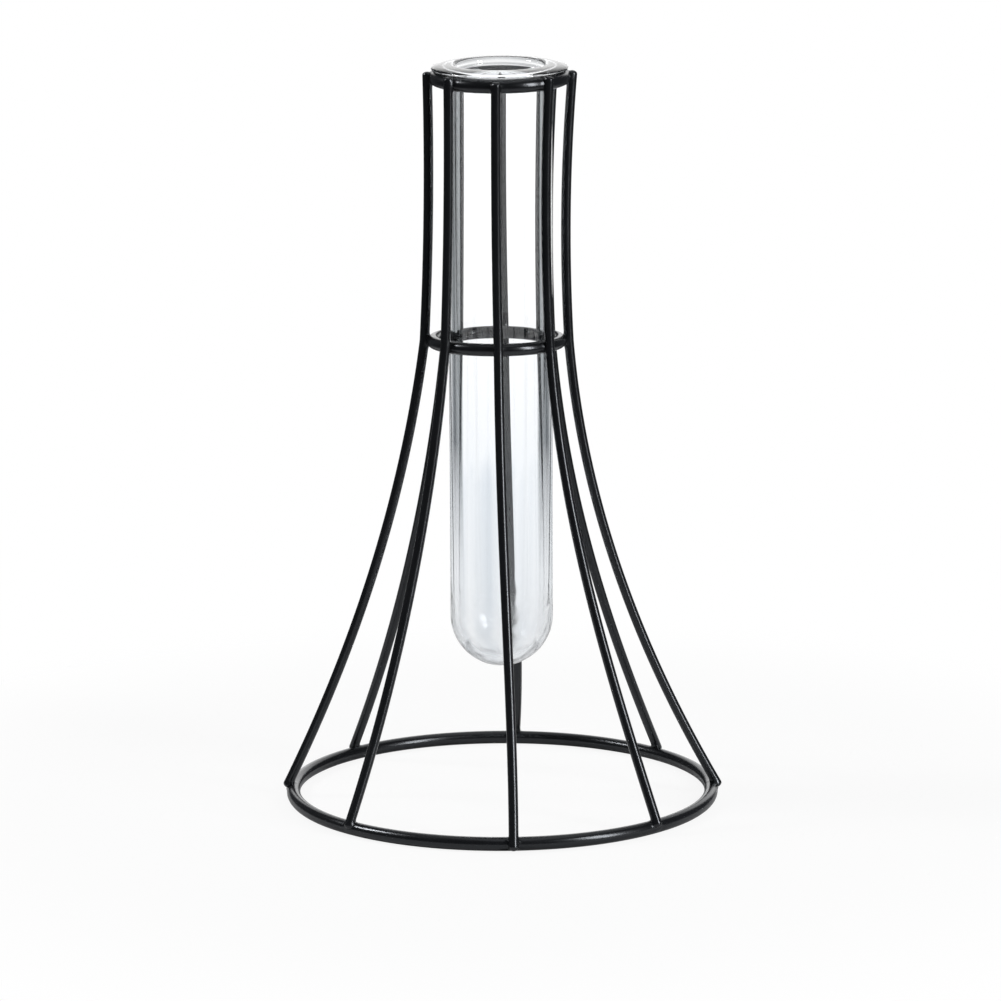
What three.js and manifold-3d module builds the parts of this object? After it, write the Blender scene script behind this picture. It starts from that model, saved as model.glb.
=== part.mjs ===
// A test-tube vase: a clear glass tube that hangs by its lip in a stand of black iron wire.
// Three wire rings hold the stand together. Eight uprights are welded to the outside of the rings:
// they run almost straight down the neck, then flare out to a wide base ring.
// Millimetres, +Z up. The origin is on the table, at the centre of the base ring.

import * as THREE from "three";
import { mergeVertices } from "three/addons/utils/BufferGeometryUtils.js";
import loadManifold from "manifold-3d";

const wasm = await loadManifold();
wasm.setup();

// Glass tube
const TUBE_DIAMETER = 23.6;
const TUBE_WALL = 1.8;
const TUBE_BOTTOM_WALL = 2;
const TUBE_LENGTH = 138.55;
const LIP_THICKNESS = 1.35;
const LIP_REACH = 1.1;
const LIP_LOWER_ROUND = 0.35;
const MOUTH_ROUND = 1.2;

// Wire stand, which hangs the tube clear of the table
const TABLE_CLEARANCE = 31;
const NECK_LENGTH = 59.9;
const BASE_DIAMETER = 100;
const TOP_RING_WIRE = 3.2;
const COLLAR_WIRE = 2.9;
const BASE_RING_WIRE = 3.1;
const UPRIGHT_WIRE = 2.2;

// The top ring isn't quite level, and the lip that lies on it slants with it: how much they rise for each
// millimetre to the right and to the back
const TOP_SLANT_RIGHT = 0.005;
const TOP_SLANT_BACK = 0.063;

// Form of the uprights. As a set they draw in at the neck and sway to the left down the flare. The foot
// angle is where on the base ring's section they land, in degrees up from its outermost point.
const NECK_WAIST = 0.79;
const FLARE_START_SLOPE = 0.108;
const FLARE_SWAY = 0.9;
const FOOT_ANGLE = 40;
const UPRIGHT_TOP_OVERRUN = 0.45;
const UPRIGHT_DOME_HEIGHT = 0.8;

// Fits: play is radial room round the tube, a gap parts two surfaces that meet, and a sink is how far
// a weld presses an upright into its ring
const TOP_RING_PLAY = 1;
const COLLAR_PLAY = 1.2;
const SEAT_GAP = 0.2;
const LEAN_GAP = 0.3;
const WELD_GAP = 0.2;
const TOP_WELD_SINK = 0.8;
const COLLAR_WELD_SINK = 0.55;
const BASE_WELD_SINK = 0.9;

// Each upright stands about an eighth of a turn from the last. The stand is bent and welded by hand, so
// skew gives its degrees off that place at the top ring, the collar and the base ring, bow the degrees
// that it bends aside half-way down the flare, and rise and drop how much longer it is at its two ends.
const UPRIGHTS = [
  { name: "upright_right", skew: [0, 0, 0], bow: 0, rise: 0.15, drop: 0.2 },
  { name: "upright_back_right", skew: [-3, -4, -3.5], bow: -3, rise: 0, drop: 0 },
  { name: "upright_back", skew: [-2.2, -7, -3.8], bow: -3.2, rise: 0, drop: 0 },
  { name: "upright_back_left", skew: [0, 0, 0.9], bow: -0.7, rise: 0, drop: 0 },
  { name: "upright_left", skew: [0, 0, 0], bow: 0, rise: 0.1, drop: 0 },
  { name: "upright_front_left", skew: [0.5, 0.3, 1.5], bow: 1.2, rise: 0.55, drop: 0.2 },
  { name: "upright_front", skew: [-3, 1.4, 2.8], bow: 2.4, rise: 0, drop: 1.4 },
  { name: "upright_front_right", skew: [-2.9, 1.6, -1], bow: 2.8, rise: 0.6, drop: 0.2 },
];

// Facets. A ring's section has a flat side at the top and the bottom when its sides are 4n + 2.
const TUBE_FACETS = 40;
const RING_SIDES = 14;
const SMALL_RING_FACETS = 40;
const BASE_RING_FACETS = 72;
const UPRIGHT_SIDES = 10;
const UPRIGHT_STEPS = 24;
const UPRIGHT_DOME_BANDS = 6;
const TUBE_BOTTOM_STEPS = 10;
const LIP_NECK_STEPS = 4;
const LIP_EDGE_STEPS = 2;
const LIP_TOP_STEPS = 6;
const MOUTH_STEPS = 4;
const DOUBLED_POINT = 1e-6;

const IRON = new THREE.MeshStandardMaterial({ color: 0x17181a, roughness: 0.38, metalness: 0.1 });
const GLASS = new THREE.MeshStandardMaterial({
  color: 0xf3f7f8,
  roughness: 0.04,
  metalness: 0,
  transparent: true,
  opacity: 0.3,
});

const tubeRadius = TUBE_DIAMETER / 2;
const tubeTop = TABLE_CLEARANCE + TUBE_LENGTH;
const lipBottom = tubeTop - LIP_THICKNESS;
const ringFlat = Math.cos(Math.PI / RING_SIDES);

// The collar sits to one side, so that the tube all but leans on it at the right
const topRing = {
  radius: tubeRadius + TOP_RING_PLAY + TOP_RING_WIRE / 2,
  wire: TOP_RING_WIRE,
  sink: TOP_WELD_SINK,
  x: 0,
  z: lipBottom - SEAT_GAP - (TOP_RING_WIRE / 2) * ringFlat,
  facets: SMALL_RING_FACETS,
};
const collar = {
  radius: tubeRadius + COLLAR_PLAY + COLLAR_WIRE / 2,
  wire: COLLAR_WIRE,
  sink: COLLAR_WELD_SINK,
  x: LEAN_GAP - COLLAR_PLAY,
  z: topRing.z - NECK_LENGTH,
  facets: SMALL_RING_FACETS,
};
const baseRing = {
  radius: (BASE_DIAMETER - BASE_RING_WIRE) / 2,
  wire: BASE_RING_WIRE,
  sink: BASE_WELD_SINK,
  x: 0,
  z: (BASE_RING_WIRE / 2) * ringFlat,
  facets: BASE_RING_FACETS,
};
const neckMiddle = (topRing.z + collar.z) / 2;

function toSolid(geometry) {
  const bare = geometry.clone();
  bare.deleteAttribute("normal");
  bare.deleteAttribute("uv");
  const merged = mergeVertices(bare);
  return new wasm.Manifold(new wasm.Mesh({
    numProp: 3,
    vertProperties: merged.attributes.position.array,
    triVerts: Uint32Array.from(merged.index.array),
  }));
}

function toGeometry(solid) {
  const mesh = solid.getMesh();
  const geometry = new THREE.BufferGeometry();
  geometry.setAttribute("position", new THREE.BufferAttribute(mesh.vertProperties, 3));
  geometry.setIndex(new THREE.BufferAttribute(mesh.triVerts, 1));
  geometry.computeVertexNormals();
  return geometry;
}

function topSlant(x, y) {
  return TOP_SLANT_RIGHT * x + TOP_SLANT_BACK * y;
}

// Slants what lies above the middle of the neck. Points only move up and down, so round walls stay round.
function slanted(geometry) {
  const places = geometry.attributes.position;
  for (let i = 0; i < places.count; i += 1) {
    const z = places.getZ(i);
    if (z > neckMiddle) {
      places.setZ(i, z + topSlant(places.getX(i), places.getY(i)));
    }
  }
  return geometry;
}

// A wire ring, made thicker by grow where it cuts the seat of a weld
function ringGeometry(ring, grow = 0) {
  const geometry = new THREE.TorusGeometry(ring.radius, ring.wire / 2 + grow, RING_SIDES, ring.facets);
  return slanted(geometry.translate(ring.x, 0, ring.z));
}

// Points on an elliptical arc, with angles in degrees up from the outward direction
function arc({ r, z, across, up, from, to, steps }) {
  const points = [];
  for (let i = 0; i <= steps; i += 1) {
    const angle = THREE.MathUtils.degToRad(THREE.MathUtils.lerp(from, to, i / steps));
    points.push(new THREE.Vector2(r + across * Math.cos(angle), z + up * Math.sin(angle)));
  }
  return points;
}

// Stretches of an outline in one row, without the doubled points where they meet
function joined(...stretches) {
  const points = stretches.flat();
  return points.filter((point, i) => i === 0 || point.distanceTo(points[i - 1]) > DOUBLED_POINT);
}

// The quarter of the bottom's round section, taken upward on the outside and downward in the bore
function bottomArc(across, up, from, to) {
  return arc({ r: 0, z: TABLE_CLEARANCE + tubeRadius, across, up, from, to, steps: TUBE_BOTTOM_STEPS });
}

// The tube's half section: round bottom, straight wall, the neck of the lip laid over the top ring's
// wire, the lip's thin edge, its top that rises to the mouth, then down the bore again
function tubeGeometry() {
  const boreRadius = tubeRadius - TUBE_WALL;
  const mouthRadius = boreRadius + MOUTH_ROUND;
  const lipRadius = topRing.radius + LIP_REACH;
  const edgeHeight = lipBottom + LIP_LOWER_ROUND;
  const lipNeck = arc({
    r: topRing.radius,
    z: topRing.z,
    across: topRing.radius - tubeRadius,
    up: lipBottom - topRing.z,
    from: 180,
    to: 90,
    steps: LIP_NECK_STEPS,
  });
  const lipEdge = arc({
    r: lipRadius - LIP_LOWER_ROUND,
    z: edgeHeight,
    across: LIP_LOWER_ROUND,
    up: LIP_LOWER_ROUND,
    from: -90,
    to: 0,
    steps: LIP_EDGE_STEPS,
  });
  const lipTop = arc({
    r: mouthRadius,
    z: edgeHeight,
    across: lipRadius - mouthRadius,
    up: tubeTop - edgeHeight,
    from: 0,
    to: 90,
    steps: LIP_TOP_STEPS,
  });
  const mouth = arc({
    r: mouthRadius,
    z: tubeTop - MOUTH_ROUND,
    across: MOUTH_ROUND,
    up: MOUTH_ROUND,
    from: 90,
    to: 180,
    steps: MOUTH_STEPS,
  });
  const outside = bottomArc(tubeRadius, tubeRadius, -90, 0);
  const inside = bottomArc(boreRadius, tubeRadius - TUBE_BOTTOM_WALL, 0, -90);
  const profile = joined(outside, lipNeck, lipEdge, lipTop, mouth, inside);
  return slanted(new THREE.LatheGeometry(profile, TUBE_FACETS).rotateX(Math.PI / 2));
}

// How far an upright's centreline stands from the wire of a ring that it is welded to
function weldReach(ring) {
  return (ring.wire + UPRIGHT_WIRE) / 2 - ring.sink;
}

// Centreline of one upright, from the top ring down to the base ring's outer side
class UprightLine extends THREE.Curve {
  constructor(turn, { skew, bow, rise, drop }) {
    super();
    this.angles = skew.map((degrees) => THREE.MathUtils.degToRad(turn + degrees));
    this.bowAngle = THREE.MathUtils.degToRad(bow);
    this.topRadius = topRing.radius + weldReach(topRing);
    this.collarRadius = collar.radius + weldReach(collar);
    const footAngle = THREE.MathUtils.degToRad(FOOT_ANGLE);
    const footReach = weldReach(baseRing);
    this.footRadius = baseRing.radius + footReach * Math.cos(footAngle);
    this.footHeight = baseRing.z + footReach * Math.sin(footAngle);
    const slant = this.topRadius * topSlant(Math.cos(this.angles[0]), Math.sin(this.angles[0]));
    this.startHeight = topRing.z + slant + UPRIGHT_TOP_OVERRUN + rise;
    this.endHeight = this.footHeight - drop;
  }

  // The line draws in a little down the neck and follows the collar off the axis, then flares
  // in a parabola, sways to the left and comes back towards the axis at the base
  getPoint(t, target = new THREE.Vector3()) {
    const { lerp } = THREE.MathUtils;
    const [topAngle, collarAngle, baseAngle] = this.angles;
    const z = lerp(this.startHeight, this.endHeight, t);
    if (z > collar.z) {
      const down = (topRing.z - z) / (topRing.z - collar.z);
      const waist = 4 * NECK_WAIST * down * (1 - down);
      const radius = lerp(this.topRadius, this.collarRadius, down) - waist;
      const angle = lerp(topAngle, collarAngle, down);
      const shift = collar.x * down * (2 - down);
      return target.set(shift + radius * Math.cos(angle), radius * Math.sin(angle), z);
    }
    const fall = collar.z - this.footHeight;
    const down = (collar.z - z) / fall;
    const straight = FLARE_START_SLOPE * fall;
    const curve = this.footRadius - this.collarRadius - straight;
    const radius = this.collarRadius + straight * down + curve * down ** 2;
    const middle = 4 * down * (1 - down);
    const angle = lerp(collarAngle, baseAngle, down) + this.bowAngle * middle;
    const shift = collar.x * (1 - down) - FLARE_SWAY * middle;
    return target.set(shift + radius * Math.cos(angle), radius * Math.sin(angle), z);
  }
}

// The low dome at one end of an upright
function domeGeometry(place, tangent) {
  const dome = new THREE.SphereGeometry(UPRIGHT_WIRE / 2, UPRIGHT_SIDES, UPRIGHT_DOME_BANDS);
  dome.scale(1, UPRIGHT_DOME_HEIGHT / (UPRIGHT_WIRE / 2), 1);
  const turn = new THREE.Quaternion().setFromUnitVectors(new THREE.Vector3(0, 1, 0), tangent);
  return dome.applyQuaternion(turn).translate(place.x, place.y, place.z);
}

// One upright: a round bar along its line, domed at both ends, with a seat cut for each weld
function uprightGeometry(line) {
  const section = new THREE.Shape();
  section.absarc(0, 0, UPRIGHT_WIRE / 2, 0, 2 * Math.PI);
  const bar = new THREE.ExtrudeGeometry(section, {
    steps: UPRIGHT_STEPS,
    curveSegments: UPRIGHT_SIDES / 2,
    extrudePath: line,
  });
  let solid = toSolid(bar);
  for (const end of [0, 1]) {
    solid = solid.add(toSolid(domeGeometry(line.getPoint(end), line.getTangent(end))));
  }
  for (const ring of [topRing, collar, baseRing]) {
    solid = solid.subtract(toSolid(ringGeometry(ring, WELD_GAP)));
  }
  return toGeometry(solid);
}

function named(name, geometry, material) {
  const mesh = new THREE.Mesh(geometry, material);
  mesh.name = name;
  return mesh;
}

const vase = new THREE.Group();
vase.add(named("glass_tube", tubeGeometry(), GLASS));
vase.add(named("top_ring", ringGeometry(topRing), IRON));
vase.add(named("collar_ring", ringGeometry(collar), IRON));
vase.add(named("base_ring", ringGeometry(baseRing), IRON));
UPRIGHTS.forEach((upright, i) => {
  const turn = (360 * i) / UPRIGHTS.length;
  vase.add(named(upright.name, uprightGeometry(new UprightLine(turn, upright)), IRON));
});

export default vase;
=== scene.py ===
import math

import bpy
import numpy as np
from mathutils import Matrix, Vector


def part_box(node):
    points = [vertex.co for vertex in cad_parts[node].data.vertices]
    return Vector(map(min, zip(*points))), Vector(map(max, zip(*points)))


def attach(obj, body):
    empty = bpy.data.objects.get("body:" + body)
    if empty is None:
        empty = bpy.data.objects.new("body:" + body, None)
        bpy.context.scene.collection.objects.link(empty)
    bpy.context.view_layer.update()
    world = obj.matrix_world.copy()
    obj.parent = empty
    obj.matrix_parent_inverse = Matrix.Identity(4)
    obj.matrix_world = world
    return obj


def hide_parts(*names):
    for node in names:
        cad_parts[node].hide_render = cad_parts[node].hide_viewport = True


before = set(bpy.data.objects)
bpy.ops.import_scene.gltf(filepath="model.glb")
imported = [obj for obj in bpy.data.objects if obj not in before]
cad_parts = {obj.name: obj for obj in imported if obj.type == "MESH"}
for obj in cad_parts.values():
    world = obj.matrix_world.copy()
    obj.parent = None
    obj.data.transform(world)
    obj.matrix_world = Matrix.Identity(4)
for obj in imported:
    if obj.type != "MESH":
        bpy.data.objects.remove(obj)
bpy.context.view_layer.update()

MM = 0.001
WHITE = (1, 1, 1, 1)

# Wire of the stand
TOP_RING_WIRE = 3.2 * MM
COLLAR_WIRE = 2.9 * MM
BASE_RING_WIRE = 3.1 * MM
UPRIGHT_WIRE = 2.2 * MM

# Line of the uprights, with how deep each weld presses the wires into each other
NECK_WAIST = 0.79 * MM
FLARE_START_SLOPE = 0.108
FLARE_SWAY = 0.9 * MM
TOP_WELD_SINK = 0.8 * MM
COLLAR_WELD_SINK = 0.55 * MM
BASE_WELD_SINK = 0.9 * MM
FOOT_ANGLE = math.radians(40)
TOP_OVERRUN = 0.45 * MM
END_DOME_HEIGHT = 0.8 * MM

# Rise of the top ring and the lip, for each metre to the right and to the back
TOP_SLANT = (0.005, 0.063)
LEVEL = (0, 0)

# For each upright, the degrees that it stands off its eighth of a turn at the top ring, the collar and the
# base ring, the degrees that it bends aside half-way down the flare, and the millimetres that it is longer
# at the top and at the foot
UPRIGHTS = [
    ("upright_right", (0, 0, 0), 0, 0.15, 0.2),
    ("upright_back_right", (-3, -4, -3.5), -3, 0, 0),
    ("upright_back", (-2.2, -7, -3.8), -3.2, 0, 0),
    ("upright_back_left", (0, 0, 0.9), -0.7, 0, 0),
    ("upright_left", (0, 0, 0), 0, 0.1, 0),
    ("upright_front_left", (0.5, 0.3, 1.5), 1.2, 0.55, 0.2),
    ("upright_front", (-3, 1.4, 2.8), 2.4, 0, 1.4),
    ("upright_front_right", (-2.9, 1.6, -1), 2.8, 0.6, 0.2),
]

# Weld fillets: how far from the crease the coat starts to rise, and how far it rises in the crease
FILLET_WIDTH = 0.9 * MM
FILLET_RISE = FILLET_WIDTH / 4

# Fineness of the wires' meshes
WIRE_SIDES = 24
LINE_POINTS = 2000
UPRIGHT_STEP = 1.0 * MM
WELD_STEP = 0.25 * MM
WELD_SPAN = 4.0 * MM
RING_STEP = 0.4 * MM
END_DOME_ROWS = 7
END_DOME_STEP = math.radians(12)

# Glass tube
TUBE_LOW, TUBE_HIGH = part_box("glass_tube")
TUBE_FOOT = TUBE_LOW[2]
LIP_RADIUS = TUBE_HIGH[0]
TUBE_RADIUS = 11.8 * MM
TUBE_WALL = 1.8 * MM
TUBE_BOTTOM_WALL = 2.0 * MM
TUBE_LENGTH = 138.55 * MM
LIP_THICKNESS = 1.35 * MM
LIP_LOWER_ROUND = 0.35 * MM
MOUTH_ROUND = 1.2 * MM

# Fineness of the glass's mesh, with the degrees that a round stops short of its pole or of the next round
GLASS_FACETS = 160
GLASS_WALL_STEP = 2.0 * MM
BOTTOM_STEPS = 29
POLE_GAP = 3
LIP_SEAT_STEPS = 10
LIP_LOWER_STEPS = 9
LIP_LOWER_GAP = 9
LIP_UPPER_STEPS = 24
MOUTH_STEPS = 10
MOUTH_GAP = 6

# Satin coat of the wires: its tones, its least and most roughness, and patterns counted for each metre
COAT_TONES = [(0.0, (0.0034, 0.0036, 0.0042, 1)), (1.0, (0.0066, 0.007, 0.008, 1))]
COAT_SPECULAR = 0.5
COAT_SPECULAR_TINT = (0.9, 0.94, 1, 1)
COAT_SMOOTHEST = 0.18
COAT_DULLEST = 0.3
PATCHES_PER_METRE = 140.0
PATCH_DETAIL = 3.0
PEEL_PER_METRE = 2200.0
PEEL_DETAIL = 2.0
PEEL_STRENGTH = 0.25
PEEL_DEPTH = 0.05 * MM

# Body of the glass
GLASS_IOR = 1.48
GLASS_BODY = (0.55, 0.62, 0.68, 1)
GLASS_BODY_DENSITY = 16.0

# Faint smears all over the glass, which start and are full at these levels of their noise
SMEARS_PER_METRE = 90.0
SMEAR_DETAIL = 2.0
SMEAR_START = 0.45
SMEAR_FULL = 0.8
SMEAR_ROUGHNESS = 0.05

# Soft waves in the round bottom, with some haze
WAVES_PER_METRE = 260.0
WAVES_DETAIL = 1.0
WAVES_TOP = TUBE_FOOT + 21 * MM
WAVES_FULL = WAVES_TOP - TUBE_RADIUS / 2
WAVES_DEPTH = 0.12 * MM
WAVES_HAZE = 0.12

# Streaks along the glass, with painted grey shade in the lower tube at the low levels of their noise
STREAKS_PER_METRE = 190.0
STREAK_DETAIL = 2.0
STREAK_STRETCH = 0.02
# Painted shade: grey of the streaks in the lower tube
STREAK_PAINTED_SHADE = (0.86, 0.88, 0.9, 1)
STREAK_PAINTED_SHADE_LEVEL = 0.32
STREAK_CLEAR_LEVEL = 0.52
STREAKS_FULL = TUBE_FOOT + 44 * MM
STREAKS_END = TUBE_FOOT + 84 * MM

# Painted grey shade in a band of the straight outer wall: for each turn, from 0 where the wall faces the
# viewer to 1 where it is edge on, the share of the light that it lets in
# Painted shade: grey band where the wall is seen edge on
PAINTED_EDGE_SHADE = [(0.31, 1.0), (0.35, 0.34), (0.45, 0.42), (0.55, 0.14), (0.63, 0.35), (0.75, 0.8)]

# Powers of those shares in red, green and blue: light passes a surface with the root of its colour, so they
# are about 2, and the higher ones leave the grey a little blue
PAINTED_EDGE_SHADE_POWERS = (2.15, 2.06, 2.0)

# How much the streaks shift the painted shade band, the heights where it is full and where it is faint, its
# strength where it is faint, and how near to the tube's radius the straight outer wall lies
PAINTED_EDGE_SHADE_UNEVEN = 0.2
PAINTED_EDGE_SHADE_FULL = TUBE_FOOT + 53 * MM
PAINTED_EDGE_SHADE_FAINT = TUBE_FOOT + 23 * MM
PAINTED_EDGE_SHADE_FAINT_SHARE = 0.12
WALL_TOLERANCE = 0.4 * MM

# Floor of white paper: it is whole out to its full radius and then fades, its shadow fades by the shadow's
# radius, and it has a tone of its own through the glass
FLOOR_SIDES = 96
FLOOR_GAP = 0.2 * MM
FLOOR_RADIUS = 440 * MM
FLOOR_FULL_RADIUS = 140 * MM
FLOOR_PAPER = (0.75, 0.75, 0.75, 1)
FLOOR_SHADOW_RADIUS = 200 * MM
FLOOR_SHADOW_SHARE = 0.1
FLOOR_GLASS_TONE = (0.9, 0.92, 0.94, 1)

# Studio that the wires mirror, by direction: a dim room, with a white backdrop behind the object. The
# backdrop's middle lies a little to the right, it ends at the sides and is wider overhead, and it fades in
# from its edge
ROOM_GREY = (0.072, 0.076, 0.082, 1)
BACKDROP_LEVEL = 1.6
BACKDROP_SHIFT = 0.095
BACKDROP_NARROWING = 3.0
BACKDROP_WIDENING = 0.9
BACKDROP_EDGE = -0.16
BACKDROP_FULL = 0.12

# Tone of the backdrop at heights from -1 straight down to 1 straight up
BACKDROP_TONES = [
    (-0.18, (0.64, 0.66, 0.68, 1)),
    (-0.13, (0.75, 0.75, 0.75, 1)),
    (0.0, (0.75, 0.75, 0.75, 1)),
    (0.1, WHITE),
    (0.3, WHITE),
    (0.8, (0.37, 0.375, 0.38, 1)),
]

# Surfaces that light passes on its way straight through the tube
SURFACES_CROSSED = 4

# Lamps: name, place, width and height in metres, and watts, all turned to one point of the object
SOFTBOXES = [
    ("softbox_right", (0.745, -0.545, 0.42), 0.22, 0.62, 8.5),
    ("softbox_top", (0.05, -0.10, 1.00), 0.80, 0.80, 0.4),
    ("softbox_left", (-0.72, 0.02, 0.70), 0.18, 0.20, 4.5),
]
LIGHT_TARGET = Vector((0, 0, 0.09))

# Camera of the photograph, with angles in radians, the lens in the photograph's pixels and the width of its
# sensor in millimetres
CAMERA_DISTANCE = 917.8 * MM
CAMERA_HEIGHT = 243.8 * MM
CAMERA_PITCH = 0.1877
CAMERA_ROLL = -0.0038
CAMERA_NEAREST = 10 * MM
IMAGE_WIDTH = 1001
FOCAL_PIXELS = 4074.0
CENTRE_PIXEL_X = 501.25
SENSOR_WIDTH = 36.0


class Ring:
    """A wire ring whose place is read from its node's box."""

    def __init__(self, node, wire, weld_sink, slant=LEVEL):
        low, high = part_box(node)
        self.node = node
        self.wire = wire
        self.weld_reach = (wire + UPRIGHT_WIRE) / 2 - weld_sink
        self.slant = slant
        self.x = (low[0] + high[0]) / 2
        self.z = (low[2] + high[2]) / 2
        self.radius = (high[0] - low[0] - wire) / 2

    def distance(self, points):
        """Signed distance of points from the wire's surface."""
        across = np.hypot(points[:, 0] - self.x, points[:, 1]) - self.radius
        up = points[:, 2] - self.z - self.rise(points)
        return np.hypot(across, up) - self.wire / 2

    def rise(self, points):
        """How far the ring lies above its middle height at these places."""
        return points[:, :2] @ np.array(self.slant)


top_ring = Ring("top_ring", TOP_RING_WIRE, TOP_WELD_SINK, TOP_SLANT)
collar = Ring("collar_ring", COLLAR_WIRE, COLLAR_WELD_SINK)
base_ring = Ring("base_ring", BASE_RING_WIRE, BASE_WELD_SINK)
rings = [top_ring, collar, base_ring]

# Places of the uprights' centrelines at the three welds
top_weld_radius = top_ring.radius + top_ring.weld_reach
collar_weld_radius = collar.radius + collar.weld_reach
foot_radius = base_ring.radius + base_ring.weld_reach * math.cos(FOOT_ANGLE)
foot_z = base_ring.z + base_ring.weld_reach * math.sin(FOOT_ANGLE)


def hump(share):
    """0 at both ends of a stretch and 1 half-way."""
    return 4 * share * (1 - share)


class Upright:
    """The centreline of one upright, with its points closer together beside the welds."""

    def __init__(self, node, turn, skew, bow, longer_top, longer_foot):
        self.node = node
        self.angles = np.radians(turn + np.array(skew, dtype=float))
        self.bow = math.radians(bow)
        z = np.linspace(self.top_z() + longer_top * MM, foot_z - longer_foot * MM, LINE_POINTS)
        fine = self.line(z)
        lengths = np.concatenate([[0], np.cumsum(np.linalg.norm(np.diff(fine, axis=0), axis=1))])
        welds = [np.interp(-ring.z, -z, lengths) for ring in (top_ring, collar)] + [lengths[-1]]
        stations = self.stations(lengths[-1], welds)
        self.points = np.stack([np.interp(stations, lengths, fine[:, i]) for i in range(3)], axis=1)

    def top_z(self):
        """Height of the top end, which follows the slant of the top ring."""
        place = top_weld_radius * np.array([[math.cos(self.angles[0]), math.sin(self.angles[0])]])
        return top_ring.z + top_ring.rise(place)[0] + TOP_OVERRUN

    def line(self, z):
        """Points at these heights: through the neck with a slight waist, then out in a flare."""
        top_angle, collar_angle, foot_angle = self.angles
        neck = (top_ring.z - z) / (top_ring.z - collar.z)
        drop = collar.z - foot_z
        flare = (collar.z - z) / drop
        straight = FLARE_START_SLOPE * drop
        curve = foot_radius - collar_weld_radius - straight
        in_neck = z > collar.z
        radius = np.where(
            in_neck,
            top_weld_radius + (collar_weld_radius - top_weld_radius) * neck - NECK_WAIST * hump(neck),
            collar_weld_radius + straight * flare + curve * flare**2,
        )
        angle = np.where(
            in_neck,
            top_angle + (collar_angle - top_angle) * neck,
            collar_angle + (foot_angle - collar_angle) * flare + self.bow * hump(flare),
        )
        shift = np.where(
            in_neck,
            collar.x * neck * (2 - neck),
            collar.x * (1 - flare) - FLARE_SWAY * hump(flare),
        )
        return np.stack([shift + radius * np.cos(angle), radius * np.sin(angle), z], axis=1)

    @staticmethod
    def stations(total, welds):
        """Lengths along the line, closer together beside the welds."""
        steps = [0.0]
        while steps[-1] < total:
            near = min(abs(steps[-1] - weld) for weld in welds) < WELD_SPAN
            steps.append(steps[-1] + (WELD_STEP if near else UPRIGHT_STEP))
        whole = steps[:-1] if total - steps[-2] > WELD_STEP / 2 else steps[:-2]
        return np.array(whole + [total])

    def distance(self, points):
        """Signed distance of points from the wire's surface."""
        starts = self.points[:-1]
        spans = self.points[1:] - starts
        squared = (spans**2).sum(axis=1)
        nearest = np.full(len(points), np.inf)
        for start, span, size in zip(starts, spans, squared):
            along = np.clip((points - start) @ span / size, 0, 1)
            gap = np.linalg.norm(points - start - along[:, None] * span, axis=1)
            nearest = np.minimum(nearest, gap)
        return nearest - UPRIGHT_WIRE / 2


def fillet_rise(distance):
    """How far a coated surface rises out towards a wire that is this far from it."""
    share = np.clip(1 - np.abs(distance) / FILLET_WIDTH, 0, 1)
    return share**2 * FILLET_RISE


def add_piece(name, vertices, faces, material, body, node):
    """A smooth piece that rides on a body and stands for a node."""
    mesh = bpy.data.meshes.new(name)
    mesh.from_pydata([tuple(v) for v in vertices], [], faces)
    mesh.validate()
    mesh.shade_smooth()
    mesh.materials.append(material)
    piece = bpy.data.objects.new(name, mesh)
    bpy.context.scene.collection.objects.link(piece)
    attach(piece, body)
    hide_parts(node)


def full_turn(steps):
    """Evenly spaced angles once round."""
    return np.linspace(0, 2 * math.pi, steps, endpoint=False)


def band_faces(rows, sides, closed_rows=False):
    """Quads between neighbouring rows of a tube, each row a loop of vertices."""
    faces = []
    for i in range(rows if closed_rows else rows - 1):
        a = i * sides
        b = (i + 1) % rows * sides
        for j in range(sides):
            k = (j + 1) % sides
            faces.append((a + j, a + k, b + k, b + j))
    return faces


def tipped_faces(rows, sides):
    """Quads between the rows of a tube, and fans to the two tips that follow its last row."""
    faces = band_faces(rows, sides)
    first_tip = rows * sides
    last_tip = first_tip + 1
    last_row = first_tip - sides
    for j in range(sides):
        k = (j + 1) % sides
        faces.append((first_tip, k, j))
        faces.append((last_tip, last_row + j, last_row + k))
    return faces


def upright_piece(upright, material):
    """A round wire along the upright's line, domed at both ends and filleted at its welds."""
    points = upright.points
    tangents = np.gradient(points, axis=0)
    tangents /= np.linalg.norm(tangents, axis=1)[:, None]
    outward = np.array([points[0, 0], points[0, 1], 0.0])
    radius = UPRIGHT_WIRE / 2
    turns = full_turn(WIRE_SIDES)
    rows = []

    def add_row(centre, tangent, row_radius):
        side = np.cross(tangent, outward)
        side /= np.linalg.norm(side)
        front = np.cross(side, tangent)
        normals = np.outer(np.cos(turns), front) + np.outer(np.sin(turns), side)
        rows.append((centre + row_radius * normals, normals))

    lifts = END_DOME_STEP * np.arange(1, END_DOME_ROWS + 1)
    top_dome = -END_DOME_HEIGHT * tangents[0]
    foot_dome = END_DOME_HEIGHT * tangents[-1]
    for lift in lifts[::-1]:
        add_row(points[0] + top_dome * math.sin(lift), tangents[0], radius * math.cos(lift))
    for point, tangent in zip(points, tangents):
        add_row(point, tangent, radius)
    for lift in lifts:
        add_row(points[-1] + foot_dome * math.sin(lift), tangents[-1], radius * math.cos(lift))

    vertices = np.concatenate([row for row, _ in rows])
    normals = np.concatenate([normal for _, normal in rows])
    rise = np.max([fillet_rise(ring.distance(vertices)) for ring in rings], axis=0)
    tips = [points[0] + top_dome, points[-1] + foot_dome]
    vertices = np.concatenate([vertices + normals * rise[:, None], tips])
    faces = tipped_faces(len(rows), WIRE_SIDES)
    add_piece("wire_" + upright.node, vertices, faces, material, "stand", upright.node)


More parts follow.
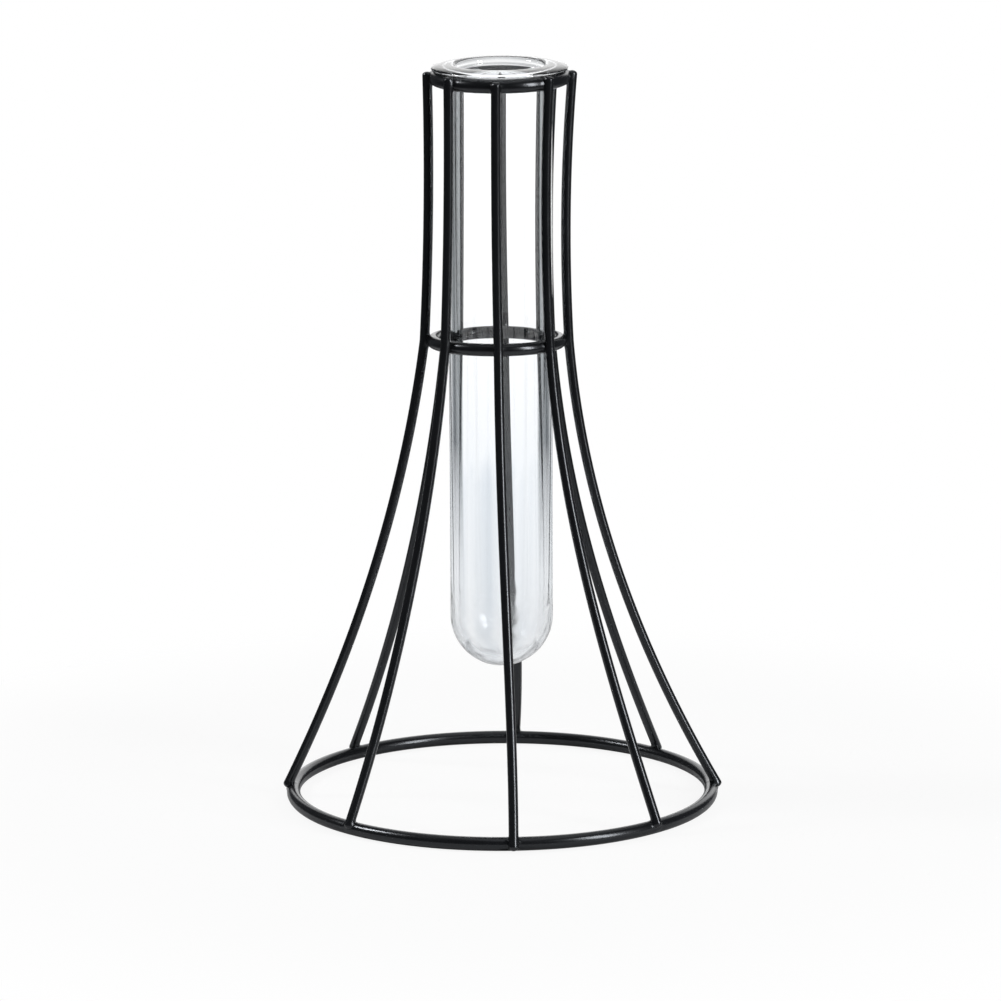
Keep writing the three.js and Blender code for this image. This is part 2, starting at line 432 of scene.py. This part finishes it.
def ring_piece(ring, uprights, material):
    """A round wire ring, filleted where the uprights are welded to it."""
    steps = int(2 * math.pi * ring.radius / RING_STEP)
    around = np.repeat(full_turn(steps), WIRE_SIDES)
    section = np.tile(full_turn(WIRE_SIDES), steps)
    outward = np.stack([np.cos(around), np.sin(around), np.zeros(len(around))], axis=1)
    normals = np.cos(section)[:, None] * outward + np.outer(np.sin(section), (0, 0, 1))
    vertices = (ring.x, 0, ring.z) + ring.radius * outward + normals * ring.wire / 2
    vertices[:, 2] += ring.rise(vertices)
    rise = np.max([fillet_rise(upright.distance(vertices)) for upright in uprights], axis=0)
    vertices = vertices + normals * rise[:, None]
    faces = [face[::-1] for face in band_faces(steps, WIRE_SIDES, closed_rows=True)]
    add_piece("wire_" + ring.node, vertices, faces, material, "stand", ring.node)


def arc(r, z, across, up, start, end, steps):
    """Points of an elliptical arc in the half section, angles in degrees up from the outward direction."""
    angles = np.radians(np.linspace(start, end, steps + 1))
    return [(r + across * math.cos(a), z + up * math.sin(a)) for a in angles]


def tube_profile():
    """Half section of the tube: round bottom, straight wall, lip over the top ring, mouth and bore."""
    top = TUBE_FOOT + TUBE_LENGTH
    lip_bottom = top - LIP_THICKNESS
    edge_z = lip_bottom + LIP_LOWER_ROUND
    bore = TUBE_RADIUS - TUBE_WALL
    mouth = bore + MOUTH_ROUND
    mouth_z = top - MOUTH_ROUND
    dome_z = TUBE_FOOT + TUBE_RADIUS
    seat_width = top_ring.radius - TUBE_RADIUS
    seat_height = lip_bottom - top_ring.z
    wall_steps = int((top_ring.z - dome_z) / GLASS_WALL_STEP)
    heights = np.linspace(dome_z, top_ring.z, wall_steps + 1)[1:-1]
    bore_heights = np.linspace(mouth_z, dome_z, wall_steps + 1)[1:-1]

    profile = arc(0, dome_z, TUBE_RADIUS, TUBE_RADIUS, POLE_GAP - 90, 0, BOTTOM_STEPS)
    profile += [(TUBE_RADIUS, z) for z in heights]
    profile += arc(top_ring.radius, top_ring.z, seat_width, seat_height, 180, 90, LIP_SEAT_STEPS)
    profile += arc(
        LIP_RADIUS - LIP_LOWER_ROUND, edge_z, LIP_LOWER_ROUND, LIP_LOWER_ROUND,
        -90, -LIP_LOWER_GAP, LIP_LOWER_STEPS,
    )
    profile += arc(mouth, edge_z, LIP_RADIUS - mouth, top - edge_z, 0, 90, LIP_UPPER_STEPS)
    profile += arc(mouth, mouth_z, MOUTH_ROUND, MOUTH_ROUND, 90 + MOUTH_GAP, 180, MOUTH_STEPS)
    profile += [(bore, z) for z in bore_heights]
    profile += arc(0, dome_z, bore, TUBE_RADIUS - TUBE_BOTTOM_WALL, 0, POLE_GAP - 90, BOTTOM_STEPS)
    return profile


def glass_piece(material):
    """The tube: its half section turned about the axis, with the upper part slanted as the top ring is."""
    profile = tube_profile()
    turns = full_turn(GLASS_FACETS)
    circle = np.stack([np.cos(turns), np.sin(turns), np.zeros(GLASS_FACETS)], axis=1)
    vertices = np.concatenate([r * circle + (0, 0, z) for r, z in profile])
    upper = vertices[:, 2] > (top_ring.z + collar.z) / 2
    vertices[upper, 2] += top_ring.rise(vertices[upper])
    poles = [(0, 0, TUBE_FOOT), (0, 0, TUBE_FOOT + TUBE_BOTTOM_WALL)]
    vertices = np.concatenate([vertices, poles])
    faces = tipped_faces(len(profile), GLASS_FACETS)
    add_piece("tube_of_clear_glass", vertices, faces, material, "tube", "glass_tube")


class NodeTree:
    """The node tree of a material or of the world, whose nodes are made and linked in one step."""

    def __init__(self, owner):
        owner.use_nodes = True
        self.tree = owner.node_tree
        self.tree.nodes.clear()

    def node(self, kind, inputs, **settings):
        """A node whose inputs are constants or the outputs of other nodes."""
        node = self.tree.nodes.new("ShaderNode" + kind)
        for name, value in settings.items():
            setattr(node, name, value)
        for name, value in inputs.items():
            if isinstance(value, bpy.types.NodeSocket):
                self.tree.links.new(value, node.inputs[name])
            else:
                node.inputs[name].default_value = value
        return node

    def calc(self, operation, *values):
        """Arithmetic on one to three values."""
        return self.node("Math", dict(enumerate(values)), operation=operation).outputs["Value"]

    def slope(self, value, start, end, low=0.0, high=1.0, curve="LINEAR"):
        """From the low level at the start to the high level at the end, and level beyond them."""
        inputs = {"Value": value, "From Min": start, "From Max": end, "To Min": low, "To Max": high}
        return self.node("MapRange", inputs, interpolation_type=curve).outputs["Result"]

    def noise(self, place, scale, detail):
        """Smooth noise about one half, with about so many swells for each metre."""
        inputs = {"Vector": place, "Scale": scale, "Detail": detail}
        return self.node("TexNoise", inputs).outputs["Fac"]

    def ramp(self, value, stops):
        """A colour for each value, blended between the stops."""
        node = self.node("ValToRGB", {"Fac": value})
        elements = node.color_ramp.elements
        while len(elements) < len(stops):
            elements.new(0.5)
        for element, (position, colour) in zip(elements, stops):
            element.position = position
            element.color = colour
        return node.outputs["Color"]

    def mix(self, share, first, second):
        """The first shader where the share is 0, and the second where it is 1."""
        return self.node("MixShader", {"Fac": share, 1: first, 2: second}).outputs["Shader"]

    def background(self, colour, strength=1.0):
        """Light from far off."""
        return self.node("Background", {"Color": colour, "Strength": strength}).outputs["Background"]


def black_coat():
    """Satin black coating on iron wire: a fine orange peel, with patches a little duller than the rest."""
    material = bpy.data.materials.new("black_coat")
    tree = NodeTree(material)
    place = tree.node("TexCoord", {}).outputs["Object"]
    patches = tree.noise(place, PATCHES_PER_METRE, PATCH_DETAIL)
    peel = tree.noise(place, PEEL_PER_METRE, PEEL_DETAIL)
    bump = tree.node("Bump", {"Strength": PEEL_STRENGTH, "Distance": PEEL_DEPTH, "Height": peel})
    coat = tree.node("BsdfPrincipled", {
        "Base Color": tree.ramp(patches, COAT_TONES),
        "Roughness": tree.slope(patches, 0.0, 1.0, COAT_SMOOTHEST, COAT_DULLEST),
        "Specular IOR Level": COAT_SPECULAR,
        "Specular Tint": COAT_SPECULAR_TINT,
        "Normal": bump.outputs["Normal"],
    })
    tree.node("OutputMaterial", {"Surface": coat.outputs["BSDF"]})
    return material


def painted_shade_streaks(tree, place):
    """Noise in streaks that run up and down the tube, which shapes the painted shade of the glass."""
    stretched = tree.node("Mapping", {"Vector": place, "Scale": (1, 1, STREAK_STRETCH)})
    return tree.noise(stretched.outputs["Vector"], STREAKS_PER_METRE, STREAK_DETAIL)


def streak_painted_shade(tree, height, streaks):
    """A faint painted grey shade in the streaks of the lower tube."""
    upper = tree.slope(height, STREAKS_FULL, STREAKS_END)
    clear = tree.calc("ADD", streaks, upper)
    return tree.ramp(clear, [(STREAK_PAINTED_SHADE_LEVEL, STREAK_PAINTED_SHADE), (STREAK_CLEAR_LEVEL, WHITE)])


def painted_edge_shade(tree, place, streaks):
    """Painted grey shade on the straight outer wall where it is seen edge on, uneven along the streaks."""
    level = tree.node("VectorMath", {0: place, 1: (1, 1, 0)}, operation="MULTIPLY").outputs["Vector"]
    radius = tree.node("VectorMath", {0: level}, operation="LENGTH").outputs["Value"]
    on_wall = tree.calc("COMPARE", radius, TUBE_RADIUS, WALL_TOLERANCE)
    facing = tree.node("LayerWeight", {}).outputs["Facing"]
    turned = tree.calc("MULTIPLY", facing, on_wall)
    uneven = tree.calc("MULTIPLY_ADD", streaks, PAINTED_EDGE_SHADE_UNEVEN, -PAINTED_EDGE_SHADE_UNEVEN / 2)
    stops = [(turn, [share**power for power in PAINTED_EDGE_SHADE_POWERS] + [1]) for turn, share in PAINTED_EDGE_SHADE]
    return tree.ramp(tree.calc("ADD", turned, uneven), stops)


def glass_painted_shade(tree, place, height):
    """The painted shade of the streaks and of the edge together, the edge's shade fainter towards the
    bottom.
    """
    streaks = painted_shade_streaks(tree, place)
    inputs = {
        "Factor": tree.slope(height, PAINTED_EDGE_SHADE_FAINT, PAINTED_EDGE_SHADE_FULL, PAINTED_EDGE_SHADE_FAINT_SHARE),
        "A": streak_painted_shade(tree, height, streaks),
        "B": painted_edge_shade(tree, place, streaks),
    }
    return tree.node("Mix", inputs, data_type="RGBA", blend_type="MULTIPLY").outputs["Result"]


def glass_roughness(tree, place, bottom):
    """Faint smears all over, and haze in the round bottom."""
    smears = tree.noise(place, SMEARS_PER_METRE, SMEAR_DETAIL)
    rough = tree.slope(smears, SMEAR_START, SMEAR_FULL, 0.0, SMEAR_ROUGHNESS)
    return tree.calc("MULTIPLY_ADD", bottom, WAVES_HAZE, rough)


def glass_waves(tree, place, bottom):
    """Soft waves in the round bottom."""
    waves = tree.noise(place, WAVES_PER_METRE, WAVES_DETAIL)
    bump = tree.node("Bump", {"Strength": bottom, "Distance": WAVES_DEPTH, "Height": waves})
    return bump.outputs["Normal"]


def clear_glass():
    """Clear glass with a faint grey body, and painted shade in bands where the wall is seen edge on and in
    streaks of the lower tube.
    """
    material = bpy.data.materials.new("clear_glass")
    tree = NodeTree(material)
    place = tree.node("TexCoord", {}).outputs["Object"]
    height = tree.node("SeparateXYZ", {"Vector": place}).outputs["Z"]
    bottom = tree.slope(height, WAVES_TOP, WAVES_FULL)
    surface = tree.node("BsdfPrincipled", {
        # Painted shade: streaks in the lower tube and bands where the wall is seen edge on
        "Base Color": glass_painted_shade(tree, place, height),
        "Roughness": glass_roughness(tree, place, bottom),
        "Normal": glass_waves(tree, place, bottom),
        "IOR": GLASS_IOR,
        "Transmission Weight": 1.0,
        "Specular Tint": WHITE,
    })
    body = tree.node("VolumeAbsorption", {"Color": GLASS_BODY, "Density": GLASS_BODY_DENSITY})
    outputs = {"Surface": surface.outputs["BSDF"], "Volume": body.outputs["Volume"]}
    tree.node("OutputMaterial", outputs)
    return material


def shadowed_paper(tree, distance, path):
    """Paper with the object's shadow on it, faint to the camera and fading away from the object."""
    paper = tree.node("BsdfDiffuse", {"Color": FLOOR_PAPER}).outputs["BSDF"]
    white = tree.node("Emission", {"Color": WHITE}).outputs["Emission"]
    near = FLOOR_SHADOW_RADIUS / 2
    fade = tree.slope(distance, near, FLOOR_SHADOW_RADIUS, 1 - FLOOR_SHADOW_SHARE, curve="SMOOTHSTEP")
    return tree.mix(tree.calc("MULTIPLY", fade, path["Is Camera Ray"]), paper, white)


def floor_material():
    """White paper: it keeps the object's shadow near the middle and runs out into a white background."""
    material = bpy.data.materials.new("floor_paper")
    tree = NodeTree(material)
    place = tree.node("TexCoord", {}).outputs["Object"]
    distance = tree.node("VectorMath", {0: place}, operation="LENGTH").outputs["Value"]
    path = tree.node("LightPath", {}).outputs
    paper = shadowed_paper(tree, distance, path)
    pale = tree.node("Emission", {"Color": FLOOR_GLASS_TONE}).outputs["Emission"]
    seen = tree.mix(path["Is Transmission Ray"], paper, pale)
    beyond = tree.node("BsdfTransparent", {}).outputs["BSDF"]
    rim = tree.slope(distance, FLOOR_FULL_RADIUS, FLOOR_RADIUS, curve="SMOOTHSTEP")
    tree.node("OutputMaterial", {"Surface": tree.mix(rim, seen, beyond)})
    return material


def add_floor():
    """A round sheet of paper just under the base ring."""
    bpy.ops.mesh.primitive_circle_add(vertices=FLOOR_SIDES, radius=FLOOR_RADIUS, fill_type="NGON")
    floor = bpy.context.object
    floor.name = "floor"
    floor.location.z = -FLOOR_GAP
    floor.data.materials.append(floor_material())


def white_backdrop(tree, direction):
    """The white backdrop, greyer low down and overhead."""
    height = tree.slope(direction["Z"], -1.0, 1.0)
    tones = tree.ramp(height, [((place + 1) / 2, tone) for place, tone in BACKDROP_TONES])
    return tree.background(tones, BACKDROP_LEVEL)


def mirrored_room(tree, direction, backdrop):
    """What wires mirror: the backdrop in a wedge of directions about +Y, wider overhead, and a dim room."""
    aside = tree.calc("ABSOLUTE", tree.calc("SUBTRACT", direction["X"], BACKDROP_SHIFT))
    wedge = tree.calc("MULTIPLY_ADD", aside, -BACKDROP_NARROWING, direction["Y"])
    above = tree.calc("MAXIMUM", direction["Z"], 0.0)
    wider = tree.calc("MULTIPLY_ADD", above, BACKDROP_WIDENING, wedge)
    behind = tree.slope(wider, BACKDROP_EDGE, BACKDROP_FULL, curve="SMOOTHSTEP")
    return tree.mix(behind, tree.background(ROOM_GREY), backdrop)


def seen_by_glass(tree, path):
    """1 for light seen straight through the tube, and 0 for light that a wire behind the tube mirrors."""
    unmirrored = tree.calc("LESS_THAN", path["Glossy Depth"], 0.5)
    one_tube = tree.calc("LESS_THAN", path["Transmission Depth"], SURFACES_CROSSED + 0.5)
    glass_alone = tree.calc("MAXIMUM", unmirrored, one_tube)
    return tree.calc("MULTIPLY", path["Is Transmission Ray"], glass_alone)


def add_world():
    """Wires mirror a backdrop in a dim room, glass shows it all round, and the camera sees a white page."""
    world = bpy.data.worlds.new("studio")
    bpy.context.scene.world = world
    tree = NodeTree(world)
    path = tree.node("LightPath", {}).outputs
    ray = tree.node("TexCoord", {}).outputs["Generated"]
    direction = tree.node("SeparateXYZ", {"Vector": ray}).outputs
    backdrop = white_backdrop(tree, direction)
    room = mirrored_room(tree, direction, backdrop)
    scenery = tree.mix(seen_by_glass(tree, path), room, backdrop)
    page = tree.background(WHITE)
    tree.node("OutputWorld", {"Surface": tree.mix(path["Is Camera Ray"], scenery, page)})


def add_lights():
    """Soft rectangular lamps."""
    for name, place, width, height, watts in SOFTBOXES:
        lamp = bpy.data.lights.new(name, "AREA")
        lamp.shape = "RECTANGLE"
        lamp.size = width
        lamp.size_y = height
        lamp.energy = watts
        holder = bpy.data.objects.new(name, lamp)
        holder.location = place
        holder.rotation_euler = (LIGHT_TARGET - Vector(place)).to_track_quat("-Z", "Y").to_euler()
        bpy.context.scene.collection.objects.link(holder)


def add_camera():
    """The camera that was fitted to the photograph."""
    camera = bpy.data.cameras.new("photo_camera")
    camera.sensor_width = SENSOR_WIDTH
    camera.lens = FOCAL_PIXELS / IMAGE_WIDTH * SENSOR_WIDTH
    camera.shift_x = (IMAGE_WIDTH / 2 - CENTRE_PIXEL_X) / IMAGE_WIDTH
    camera.clip_start = CAMERA_NEAREST
    holder = bpy.data.objects.new("photo_camera", camera)
    turn = Matrix.Rotation(math.pi / 2 - CAMERA_PITCH, 4, "X") @ Matrix.Rotation(CAMERA_ROLL, 4, "Z")
    holder.matrix_world = Matrix.Translation((0, -CAMERA_DISTANCE, CAMERA_HEIGHT)) @ turn
    bpy.context.scene.collection.objects.link(holder)
    bpy.context.scene.camera = holder


bpy.context.scene.view_settings.view_transform = "Standard"
add_camera()
add_world()
add_lights()
add_floor()

uprights = []
for i, (node, *form) in enumerate(UPRIGHTS):
    uprights.append(Upright(node, 360 * i / len(UPRIGHTS), *form))

coat = black_coat()
for upright in uprights:
    upright_piece(upright, coat)
for ring in rings:
    ring_piece(ring, uprights, coat)
glass_piece(clear_glass())
